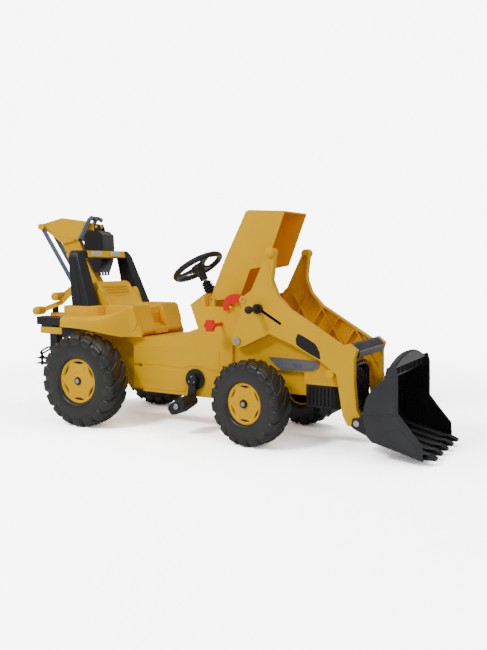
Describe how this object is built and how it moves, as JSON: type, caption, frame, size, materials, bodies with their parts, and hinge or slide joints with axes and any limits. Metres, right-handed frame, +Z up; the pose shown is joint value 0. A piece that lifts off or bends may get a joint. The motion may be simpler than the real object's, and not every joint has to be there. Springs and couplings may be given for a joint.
{
  "type": "pedal ride-on backhoe loader",
  "caption": "Child's pedal ride-on tractor with lifting front loader bucket, raised bonnet, roll bar and slewing rear digger arm.",
  "frame": {"origin": "on the floor, under the middle of the toy's bounding box as it stands in the picture", "axes": "+X forward toward the loader bucket, +Y to the driver's left, +Z up"},
  "size_m": [1.589, 0.524, 0.7205],
  "materials": {
    "body_yellow": "moulded plastic, satin gloss",
    "bonnet_orange": "moulded plastic, satin gloss",
    "black_plastic": "fine grained moulding",
    "tyre_black": "hard blow-moulded tyre, slight sheen",
    "bucket_grey": "dark grey moulding",
    "trim_grey": "grey moulding",
    "rod_grey": "blue-grey moulding",
    "latch_red": "moulded plastic",
    "steel": "zinc plated",
    "lamp_white": "pale lens"
  },
  "bodies": {
    "chassis": {"chassis_body": "body_yellow", "nose_bumper": "black_plastic", "nose_grille": "black_plastic", "side_trims": "trim_grey", "front_axle": "steel", "steering_boot": "black_plastic", "seat": "body_yellow", "fender_deck": "body_yellow", "tail_lights": "black_plastic", "roll_bar": "black_plastic", "light_panel": "body_yellow", "roof_lamps": "lamp_white", "crank_bearings": "black_plastic", "bonnet_hinge_pin": "steel", "pivot_bolts": "steel", "rear_frame": "black_plastic", "chain": "steel"},
    "rear_wheels": {"rear_axle": "steel", "rear_hub_nuts": "steel", "tyre_rear_right": "tyre_black", "tyre_rear_left": "tyre_black", "rim_rear_right": "body_yellow", "rim_rear_left": "body_yellow", "axle_sprocket": "steel"},
    "cranks": {"crank_axle": "black_plastic", "crank_arms": "black_plastic", "crank_sprocket": "steel"},
    "pedal_r": {"pedal_right": "black_plastic"},
    "pedal_l": {"pedal_left": "black_plastic"},
    "steering": {"steering_wheel": "black_plastic", "steering_shaft": "steel"},
    "knuckle_r": {"knuckle_right": "steel", "hub_nut_front_right": "steel"},
    "knuckle_l": {"knuckle_left": "steel", "hub_nut_front_left": "steel"},
    "front_wheel_r": {"tyre_front_right": "tyre_black", "rim_front_right": "body_yellow"},
    "front_wheel_l": {"tyre_front_left": "tyre_black", "rim_front_left": "body_yellow"},
    "track_rod": {"tie_rod": "steel"},
    "hood": {"bonnet": "bonnet_orange"},
    "loader": {"loader_arm_right": "body_yellow", "loader_arm_left": "body_yellow", "cross_member": "black_plastic", "cross_strip": "trim_grey", "loader_pins": "steel"},
    "loader_bucket": {"bucket": "bucket_grey"},
    "tilt_lever": {"bucket_lever": "black_plastic"},
    "hook_r": {"latch_right": "latch_red"},
    "hook_l": {"latch_left": "latch_red"},
    "lock": {"lock_handle": "latch_red"},
    "slew_frame": {"swing_frame": "body_yellow"},
    "boom_body": {"boom": "body_yellow", "boom_lever": "body_yellow"},
    "stick_body": {"stick": "body_yellow", "bucket_yoke": "rod_grey"},
    "digger": {"digger_bucket": "black_plastic"},
    "straps": {"stick_rods": "rod_grey"},
    "stick_handle": {"stick_lever": "body_yellow"},
    "hitch": {"hitch_pin": "black_plastic"}
  },
  "joints": [
    {"name": "rear_spin", "type": "hinge", "parent": "chassis", "child": "rear_wheels", "pos_m": [-0.3675, 0, 0.155], "axis": [0, 1, 0], "continuous": true},
    {"name": "crank_spin", "type": "hinge", "parent": "chassis", "child": "cranks", "pos_m": [0.0105, 0, 0.172], "axis": [0, 1, 0], "continuous": true},
    {"name": "pedal_right_spin", "type": "hinge", "parent": "cranks", "child": "pedal_r", "pos_m": [0.0035, -0.17, 0.0996], "axis": [0, 1, 0], "continuous": true},
    {"name": "pedal_left_spin", "type": "hinge", "parent": "cranks", "child": "pedal_l", "pos_m": [0.0175, 0.17, 0.2444], "axis": [0, 1, 0], "continuous": true},
    {"name": "steering_turn", "type": "hinge", "parent": "chassis", "child": "steering", "pos_m": [-0.0515, 0, 0.533], "axis": [-0.5291, 0, 0.8486], "range_deg": [-11.1, 55.5]},
    {"name": "knuckle_right_turn", "type": "hinge", "parent": "chassis", "child": "knuckle_r", "pos_m": [0.2575, -0.12, 0.13], "axis": [0, 0, 1], "range_deg": [-5, 25]},
    {"name": "knuckle_left_turn", "type": "hinge", "parent": "chassis", "child": "knuckle_l", "pos_m": [0.2575, 0.12, 0.13], "axis": [0, 0, 1], "range_deg": [-5, 25]},
    {"name": "track_rod_slide", "type": "slide", "parent": "chassis", "child": "track_rod", "axis": [0, 1, 0], "range_m": [-0.0242, 0.0049]},
    {"name": "front_right_spin", "type": "hinge", "parent": "knuckle_r", "child": "front_wheel_r", "pos_m": [0.2476, -0.17613, 0.13], "axis": [0.1736, 0.9848, 0], "continuous": true},
    {"name": "front_left_spin", "type": "hinge", "parent": "knuckle_l", "child": "front_wheel_l", "pos_m": [0.2674, 0.17613, 0.13], "axis": [0.1736, 0.9848, 0], "continuous": true},
    {"name": "bonnet_hinge", "type": "hinge", "parent": "chassis", "child": "hood", "pos_m": [0.0575, 0, 0.43], "axis": [0, 1, 0], "range_deg": [0, 75]},
    {"name": "loader_lift", "type": "hinge", "parent": "chassis", "child": "loader", "pos_m": [0.1785, 0, 0.308], "axis": [0, -1, 0], "range_deg": [0, 45]},
    {"name": "bucket_tilt", "type": "hinge", "parent": "loader", "child": "loader_bucket", "pos_m": [0.5715, 0, 0.095], "axis": [0, 1, 0], "range_deg": [0, 50]},
    {"name": "bucket_lever_slide", "type": "slide", "parent": "loader", "child": "tilt_lever", "axis": [0.8638, 0, -0.5039], "range_m": [0, 0.0685]},
    {"name": "latch_right_turn", "type": "hinge", "parent": "loader", "child": "hook_r", "pos_m": [0.1985, -0.118, 0.434], "axis": [0, 1, 0], "range_deg": [0, 35]},
    {"name": "latch_left_turn", "type": "hinge", "parent": "loader", "child": "hook_l", "pos_m": [0.1985, 0.118, 0.434], "axis": [0, 1, 0], "range_deg": [0, 35]},
    {"name": "lock_turn", "type": "hinge", "parent": "chassis", "child": "lock", "pos_m": [0.1075, -0.14, 0.355], "axis": [0, -1, 0], "range_deg": [0, 90]},
    {"name": "slew", "type": "hinge", "parent": "chassis", "child": "slew_frame", "pos_m": [-0.7025, 0, 0.33], "axis": [0, 0, 1], "range_deg": [-45, 15]},
    {"name": "boom_swing", "type": "hinge", "parent": "slew_frame", "child": "boom_body", "pos_m": [-0.51897, 0.04918, 0.415], "axis": [0.2588, -0.9659, 0], "range_deg": [0, 14]},
    {"name": "stick_swing", "type": "hinge", "parent": "boom_body", "child": "stick_body", "pos_m": [-0.64937, 0.01423, 0.643], "axis": [0.2588, -0.9659, 0], "range_deg": [0, 25]},
    {"name": "digger_hang", "type": "hinge", "parent": "stick_body", "child": "digger", "pos_m": [-0.52284, 0.04814, 0.68], "axis": [0.2588, -0.9659, 0], "range_deg": [-25.5, 0.5]},
    {"name": "strap_turn", "type": "hinge", "parent": "stick_body", "child": "straps", "pos_m": [-0.73244, -0.00802, 0.681], "axis": [0.2588, -0.9659, 0], "range_deg": [-25.5, 0.5]},
    {"name": "stick_lever_turn", "type": "hinge", "parent": "boom_body", "child": "stick_handle", "pos_m": [-0.51897, 0.04918, 0.415], "axis": [0.2588, -0.9659, 0], "range_deg": [-0.5, 25.5]},
    {"name": "hitch_pin_lift", "type": "slide", "parent": "chassis", "child": "hitch", "axis": [0, 0, 1], "range_m": [0, 0.045]}
  ],
  "couplings": [
    {"joint": "crank_spin", "follows": "rear_spin", "ratio": 0.61364},
    {"joint": "knuckle_right_turn", "follows": "steering_turn", "ratio": 0.45},
    {"joint": "knuckle_left_turn", "follows": "steering_turn", "ratio": 0.45},
    {"joint": "track_rod_slide", "follows": "steering_turn", "m_per_rad": -0.02475},
    {"joint": "bucket_lever_slide", "follows": "bucket_tilt", "m_per_rad": 0.078},
    {"joint": "digger_hang", "follows": "stick_swing", "ratio": -1},
    {"joint": "strap_turn", "follows": "stick_swing", "ratio": -1},
    {"joint": "stick_lever_turn", "follows": "stick_swing", "ratio": 1}
  ]
}
